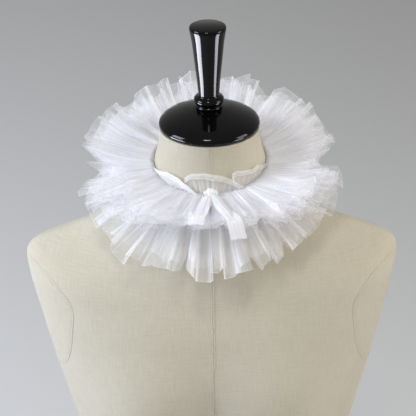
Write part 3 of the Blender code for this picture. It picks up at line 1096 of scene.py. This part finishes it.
def fine_rise(s):
    """How high the fine folds are at a share of a frill's width: they swell, then open out flat."""
    rise = FINE_ROOT + (FINE_MIDDLE - FINE_ROOT) * min(1.0, 2 * s)
    return rise * max(0.0, 1 - max(0.0, s - FINE_FADE_FROM) / FINE_FADE_OVER)


def make_ply(strip, order, ply):
    """One ply of a gathered strip: rows from the upper cut edge, over the gathers, to the lower."""
    chance = random.Random(PLY_SEED + 100 * order + 10 * ply)
    table = pleat_table()
    shares = np.linspace(0, 1, STRIP_COLUMNS + 1)
    angles = strip_angle(shares)
    gathers = around(GATHER_HEIGHT, angles)
    root = neck_radii(angles, gathers - BAND_BELOW) + BAND_CLEARANCE
    root += BAND_WALL / 2 + ROOT_WAVE + SEAM_GAP + order * STRIP_ROOT_STEP + (ply - 0.5) * PLY_STEP
    base = softened(np.interp(shares, table[:, 0], table[:, 1]), FOLD_ROUNDING)
    overhang = softened(np.interp(shares, table[:, 0], table[:, 2]), FOLD_ROUNDING)
    rows, flat, sheer, fold, cut = [], [], [], [], []
    outwards = np.append(np.linspace(0, 1, STRIP_ROWS)[:-1], (1 - CUT_EDGE, 1.0))
    upper = (strip.upper, FRONT_DRESSINGS[order][0], 1.0, outwards[::-1])
    lower = (strip.lower, FRONT_DRESSINGS[order][1], -1.0, outwards)
    for slopes, dressing, side, shares_out in (upper, lower):
        dress = dressed(dressing, angles)
        tilt = random_steps(shares, table, chance) * np.radians(around(FLAP_TILTS, angles))
        curl = random_steps(shares, table, chance) * around(FLAP_CURLS, angles)
        jags = random_steps(shares, table, chance, FLAP_GROUP) * FLAP_RAGGED
        lean = random_steps(shares, table, chance, FLAP_GROUP) * FLAP_LEAN
        scale = np.interp(random_steps(shares, table, chance), (-1, 1), FLAP_RISES) * dress.waves
        level_slope = np.radians(around(slopes, angles) + dress.lift) + (0.5 - ply) * PLY_SPREAD
        edge_slope = level_slope + tilt + base * scale * EDGE_WAVE / FRILL_WIDTH
        shorter, leaning = parting(angles, np.degrees(edge_slope))
        reach = np.interp(np.degrees(angles), *zip(*REACH)) * dress.reach * PLY_REACH[ply]
        ragged = reach * (1 + jags - shorter - dress.gap * pleat_gaps(angles))
        lean += leaning
        inner = (1 - order / len(STRIPS)) * (side > 0)
        fine = random_folds(shares, FINE_FOLDS, chance)
        broad = softened(random_folds(shares, BROAD_FOLDS, chance), BROAD_ROUNDING)
        for s in shares_out:
            slope = level_slope + tilt * s
            swell = base * scale * (ROOT_WAVE + (EDGE_WAVE - ROOT_WAVE) * s)
            swell += fine * fine_rise(s) * dress.fine + broad * BROAD_EDGE * s
            out = FRILL_WIDTH * ragged * s
            radii = root + out * np.cos(slope) - swell * np.sin(slope)
            radii -= around(ROOT_LEAN, angles) * inner * (1 - s) ** 3
            heights = gathers + side * strip.half_root + out * np.sin(slope) + swell * np.cos(slope)
            heights += around(ROOT_RISE, angles) * inner * (1 - s) ** 3
            if s < ROOT_END:
                radii = np.maximum(radii, neck_radii(angles, heights) + ROOT_CLEARANCE)
            heights += -FRILL_DROOP * s**2 + curl * s**3
            shift = overhang * dress.overhang * s**0.5 * math.pi / WAVES + lean * s
            rows.append(polar_points(radii, angles + shift, heights))
            flat.append(np.stack([shares * STRIP_LENGTH, side * (strip.half_root + out)], 1))
            sheer.append(np.full_like(shares, s))
            fold.append(fold_lines(swell) * dress.crease)
            cut.append(np.full_like(shares, 1.0 if s == 1.0 else 0.0))
    return new_tulle(f"{strip.name}_ply_{ply + 1}", rows, flat, sheer, fold, cut)


plies = []
for order, strip in enumerate(STRIPS):
    for ply, share in enumerate(PLY_REACH):
        piece = make_ply(strip, order, ply)
        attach(piece, "root")
        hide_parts(strip.name)
        plies.append(piece)


# The tie
# The band's ends run on as a ribbon of the same tulle folded lengthwise. It is knotted once at the
# centre front, and its two cut ends lie out over the frills.
KNOT_SIZE = (0.0075, 0.0048, 0.0050)  # half sizes
KNOT_DROP = 0.0006  # how far it settles between two crests
KNOT_ROUND = 56
KNOT_ACROSS = 34
KNOT_WRAPS = 4
KNOT_CREASE = 0.0010
KNOT_INSET = 0.0004  # of its cloth from the plain solid, which leaves room for the creases
KNOT_LENGTH = 0.96  # as a share of the plain solid's
KNOT_SLANT = 0.10  # of the creases
KNOT_SEED = 3
TAIL_CLEARANCE = 0.0010
TAIL_FOLD = 0.0022  # how far a tail's middle stands up between its edges
TAIL_WIDENING = 0.4  # the power of the length with which a tail gets broader
TAIL_STEPS = 44
TAIL_STEEPEST = 1.8  # how steeply the crisp ribbon falls past the edge of a frill
TAIL_STIFFNESS = 2  # over how many steps each way it bridges the folds beneath
TAIL_CREASES = (0.0, 0.45, 1.0)  # shares of the half width, where the cloth is folded
TAIL_CREASE_LIGHT = 0.35
TAIL_SHEER = (0.15, 0.40)  # at the knot and at the cut end
TAIL_CUT_EDGE = 0.985  # the share of the length where the cut edge begins
TAIL_PLEATS = 4
TAIL_PLEAT_RISE = 0.0005
TAIL_ACROSS = 28
TAIL_UNDER = 0.0009  # from the upper layer of the fold to the lower one
UNDER_NARROWER = 0.02  # how much narrower the lower layer is, as a share
ABOVE_ALL = 0.80  # the height from which the frills beneath are sought
# Where each tail starts and how far it turns round the neck, in degrees, its length, and its widths
# at the knot and at the cut end
Tail = namedtuple("Tail", "name node turn sweep length root_width end_width seed")
TAILS = (
    Tail("tail_left_folded", "tie_tail_left", -2.6, -4.2, 0.057, 0.0090, 0.0160, 5),
    Tail("tail_right_folded", "tie_tail_right", 2.6, 8.2, 0.067, 0.0085, 0.0155, 8),
)


def crest_rise(angle, table):
    """The rise of a straight line from crest to crest, which bridges the troughs."""
    crests = [(strip_angle(share), rise) for share, rise, _ in table if rise > 0]
    turn = 2 * math.pi
    crests = [(crests[-1][0] - turn, crests[-1][1]), *crests, (crests[0][0] + turn, crests[0][1])]
    return float(np.interp(angle % turn, [c[0] for c in crests], [c[1] for c in crests]))


def crest_height(angle, radius, table):
    """The top of the uppermost frill's crests at this place."""
    strip = STRIPS[0]
    slope = math.radians(around(strip.upper, angle))
    rise = crest_rise(angle, table)
    gather = around(GATHER_HEIGHT, angle)
    growth = rise * (EDGE_WAVE - ROOT_WAVE)
    root = neck_radius(angle, gather - BAND_BELOW) + BAND_CLEARANCE + BAND_WALL + ROOT_WAVE + SEAM_GAP
    out = radius - root + rise * ROOT_WAVE * math.sin(slope)
    s = max(0.0, out / (FRILL_WIDTH * math.cos(slope) - growth * math.sin(slope)))
    height = gather + strip.half_root + FRILL_WIDTH * s * math.sin(slope)
    height += (rise * ROOT_WAVE + growth * s) * math.cos(slope) - FRILL_DROOP * s * s
    return height + BAND_WALL / 2 / math.cos(slope)


def knot_place():
    """The knot stands before the heading at the centre front, on the crests of the uppermost frill."""
    table = pleat_table()
    half_depth, half_height = KNOT_SIZE[1:]
    band = neck_radius(0.0, GATHER_HEIGHT[0] - BAND_BELOW) + BAND_CLEARANCE
    reach = band + BAND_WALL / 2 + SEAM_GAP + half_depth
    low = crest_height(0.0, reach - half_depth, table)
    high = crest_height(0.0, reach + half_depth, table)
    support = math.hypot(half_height, (high - low) / 2)
    return Vector((0.0, -reach, (low + high) / 2 + support - KNOT_DROP))


def make_knot():
    """The ribbon's turn round itself: a barrel of cloth with creases that run round it aslant."""
    chance = random.Random(KNOT_SEED)
    place = knot_place()
    rounds = np.linspace(0, 2 * math.pi, KNOT_ROUND, endpoint=False)
    creases = [chance.uniform(0.6, 1.0) for _ in range(KNOT_WRAPS)]
    rows, flat, sheer, fold, cut = [], [], [], [], []
    for w in np.linspace(-1, 1, KNOT_ACROSS):
        slant = w + KNOT_SLANT * np.sin(rounds + 0.6)
        crease = sum(
            size * np.cos(math.pi * (k + 1) * slant + k) for k, size in enumerate(creases)
        ) / KNOT_WRAPS
        girth = (1 - (0.88 * abs(w)) ** 1.5) ** 0.7
        depth = KNOT_SIZE[1] * girth - KNOT_INSET + crease * KNOT_CREASE
        height = KNOT_SIZE[2] * girth - KNOT_INSET + crease * KNOT_CREASE
        x = np.full_like(rounds, place.x + w * KNOT_SIZE[0] * KNOT_LENGTH)
        rows.append(np.stack([x, place.y + depth * np.sin(rounds), place.z + height * np.cos(rounds)], 1))
        flat.append(np.stack([rounds * KNOT_SIZE[2], np.full_like(rounds, w * KNOT_SIZE[0])], 1))
        sheer.append(np.full_like(rounds, BAND_SHEER))
        fold.append(np.clip(crease, 0, 1))
        cut.append(np.zeros_like(rounds))
    return new_tulle("knot_wrapped", rows, flat, sheer, fold, cut, closed=True)


def spread(values, reach):
    """The greatest value within this many places each way, then a mean over the same reach."""
    size = 2 * reach + 1
    padded = np.pad(values, reach, mode="edge")
    windows = np.lib.stride_tricks.sliding_window_view(padded, (size, size))
    highest = windows.max(axis=(2, 3))
    padded = np.pad(highest, reach, mode="edge")
    return np.lib.stride_tricks.sliding_window_view(padded, (size, size)).mean(axis=(2, 3))


def frill_tops(radii, grid_angles, below):
    """The height of the uppermost frill at each place, or 0 past the frills' edges."""
    tops = np.empty_like(grid_angles)
    for i, j in np.ndindex(tops.shape):
        x = radii[j] * math.sin(grid_angles[i, j])
        y = -radii[j] * math.cos(grid_angles[i, j])
        above = Vector((x, y, ABOVE_ALL))
        hits = [frill.ray_cast(above, Vector((0, 0, -1)))[0] for frill in below]
        tops[i, j] = max((hit.z for hit in hits if hit is not None), default=0.0)
    return tops


def make_tail(tail, below):
    """A cut end of the tie: a folded ribbon, laid on whatever frill is uppermost beneath it."""
    chance = random.Random(tail.seed)
    start = -knot_place().y + KNOT_SIZE[1] + SEAM_GAP
    lengths = np.linspace(0, 1, TAIL_STEPS + 1)
    sides = np.linspace(-1, 1, TAIL_ACROSS + 1)
    radii = start + tail.length * lengths
    widths = tail.root_width + (tail.end_width - tail.root_width) * lengths**TAIL_WIDENING
    angles = np.radians(tail.turn + tail.sweep * lengths)
    grid_angles = angles[None, :] + sides[:, None] * (widths / 2 / radii)[None, :]
    ground = spread(frill_tops(radii, grid_angles, below), TAIL_STIFFNESS)
    fall = TAIL_STEEPEST * tail.length / TAIL_STEPS
    for j in range(1, TAIL_STEPS + 1):
        ground[:, j] = np.maximum(ground[:, j], ground[:, j - 1].max() - fall)
    steps = np.hypot(tail.length / TAIL_STEPS, np.diff(ground[TAIL_ACROSS // 2]))
    along = np.concatenate([[0.0], np.cumsum(steps)])
    pleats = softened(random_folds(np.linspace(0, 1, TAIL_ACROSS + 1), TAIL_PLEATS, chance), 3)
    rows, flat, sheer, fold, cut = [], [], [], [], []
    for layer, order in ((1, range(TAIL_ACROSS + 1)), (0, reversed(range(TAIL_ACROSS - 2)))):
        for i in order:
            ridge = TAIL_FOLD * (1 - abs(sides[i])) * (1 - 0.5 * lengths)
            pleat = pleats[i] * TAIL_PLEAT_RISE * (1 - 0.6 * lengths)
            lift = TAIL_CLEARANCE + layer * TAIL_UNDER + ridge + pleat
            narrowing = 1 - UNDER_NARROWER * (1 - layer)
            turned = angles + sides[i] * narrowing * widths / 2 / radii
            rows.append(polar_points(radii, turned, ground[i] + lift))
            across = sides[i] * tail.end_width / 2 + (1 - layer) * tail.end_width
            flat.append(np.stack([along, np.full_like(lengths, across)], 1))
            sheer.append(np.interp(lengths, (0, 1), TAIL_SHEER))
            creased = min(abs(abs(sides[i]) - place) for place in TAIL_CREASES) < 0.05
            fold.append(np.full_like(lengths, TAIL_CREASE_LIGHT if creased else 0.0))
            cut.append((lengths > TAIL_CUT_EDGE).astype(float))
    return new_tulle(tail.name, rows, flat, sheer, fold, cut)


knot = make_knot()
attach(knot, "root")
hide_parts("tie_knot")

depsgraph = bpy.context.evaluated_depsgraph_get()
uppermost = [BVHTree.FromObject(ply, depsgraph) for ply in plies]
for tail in TAILS:
    piece = make_tail(tail, uppermost)
    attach(piece, "root")
    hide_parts(tail.node)


# The floor and the lights
# A floor of grey paper, with painted shade that darkens it from the left towards the right, where less
# of the light falls. A large cool soft box stands on the left, a weaker and warmer one on the right, and
# a small one hangs above, which throws the ruff's soft shadow on the chest. Two more are seen in gloss
# alone, and make the upright highlights of the finial.
# The paper's colour on the left, and the darker colour of the painted shade towards the right
FLOOR_COLOUR = "#C5C6C8"
FLOOR_PAINTED_SHADE = "#B3B4B3"
FLOOR_HALF = 8.0


def floor_material():
    """Seamless grey paper, matt, with painted shade that makes it darker towards the right, where less of
    the light from the left falls.
    """
    made, tree, output = new_material("grey_paper")
    place = add_node(tree, "ShaderNodeTexCoord").outputs["Object"]
    # Painted shade: the colour darkens across the floor from left to right, standing in for the fall of
    # the light
    across = add_node(tree, "ShaderNodeSeparateXYZ", {"Vector": place})
    painted_shade_share = add_node(
        tree,
        "ShaderNodeMapRange",
        {"Value": across.outputs["X"], "From Min": -0.8, "From Max": 0.8},
        interpolation_type="SMOOTHSTEP",
    )
    colour = add_node(
        tree,
        "ShaderNodeMix",
        {"Factor": painted_shade_share.outputs[0], "A": srgb(FLOOR_COLOUR), "B": srgb(FLOOR_PAINTED_SHADE)},
        data_type="RGBA",
    )
    shader = add_node(
        tree, "ShaderNodeBsdfPrincipled", {"Base Color": colour.outputs["Result"], "Roughness": 0.9}
    )
    tree.links.new(shader.outputs[0], output.inputs["Surface"])
    return made


floor_corners = [(x * FLOOR_HALF, y * FLOOR_HALF, 0.0) for x, y in ((-1, -1), (1, -1), (1, 1), (-1, 1))]
floor = new_piece("floor", floor_corners, [(0, 1, 2, 3)], floor_material())

SoftBox = namedtuple("SoftBox", "name place aim width height power colour gloss_only")
SOFT_BOXES = (
    SoftBox("key", (-2.0, -0.45, 1.55), (0.0, 0.0, 0.64), 1.0, 1.2, 58.0, "#E9F0FF", False),
    SoftBox("top", (-0.15, -1.0, 2.35), (0.0, 0.0, 0.60), 0.35, 0.35, 12.5, "#FFFDF8", False),
    SoftBox("fill", (1.9, -0.45, 1.15), (0.0, 0.0, 0.64), 0.9, 1.2, 25.0, "#FFF8EE", False),
    SoftBox("left_window", (-0.58, -0.145, 0.38), (0.0, 0.0, 0.77), 0.42, 0.34, 15.0, "#F2F4FF", True),
    SoftBox("right_window", (0.555, -0.235, 0.38), (0.0, 0.0, 0.77), 0.26, 0.34, 5.3, "#F2F0FF", True),
)
for box in SOFT_BOXES:
    lamp = bpy.data.lights.new(box.name, "AREA")
    lamp.shape = "RECTANGLE"
    lamp.size = box.width
    lamp.size_y = box.height
    lamp.energy = box.power
    lamp.color = srgb(box.colour)[:3]
    placed = bpy.data.objects.new(box.name, lamp)
    placed.location = box.place
    aim = Vector(box.aim) - Vector(box.place)
    placed.rotation_euler = aim.to_track_quat("-Z", "Y").to_euler()
    placed.visible_diffuse = not box.gloss_only
    placed.visible_transmission = not box.gloss_only
    bpy.context.scene.collection.objects.link(placed)

ROOM_COLOUR = "#E6E5E2"
ROOM_STRENGTH = 0.53
TULLE_LAYERS = 40  # how many layers of tulle a ray can pass
TULLE_BOUNCES = 8  # how often light is thrown about among the frills

world = bpy.data.worlds.new("room")
world.use_nodes = True
world.node_tree.nodes["Background"].inputs["Color"].default_value = srgb(ROOM_COLOUR)
world.node_tree.nodes["Background"].inputs["Strength"].default_value = ROOM_STRENGTH
bpy.context.scene.world = world
bpy.context.scene.cycles.transparent_max_bounces = TULLE_LAYERS
bpy.context.scene.cycles.diffuse_bounces = TULLE_BOUNCES
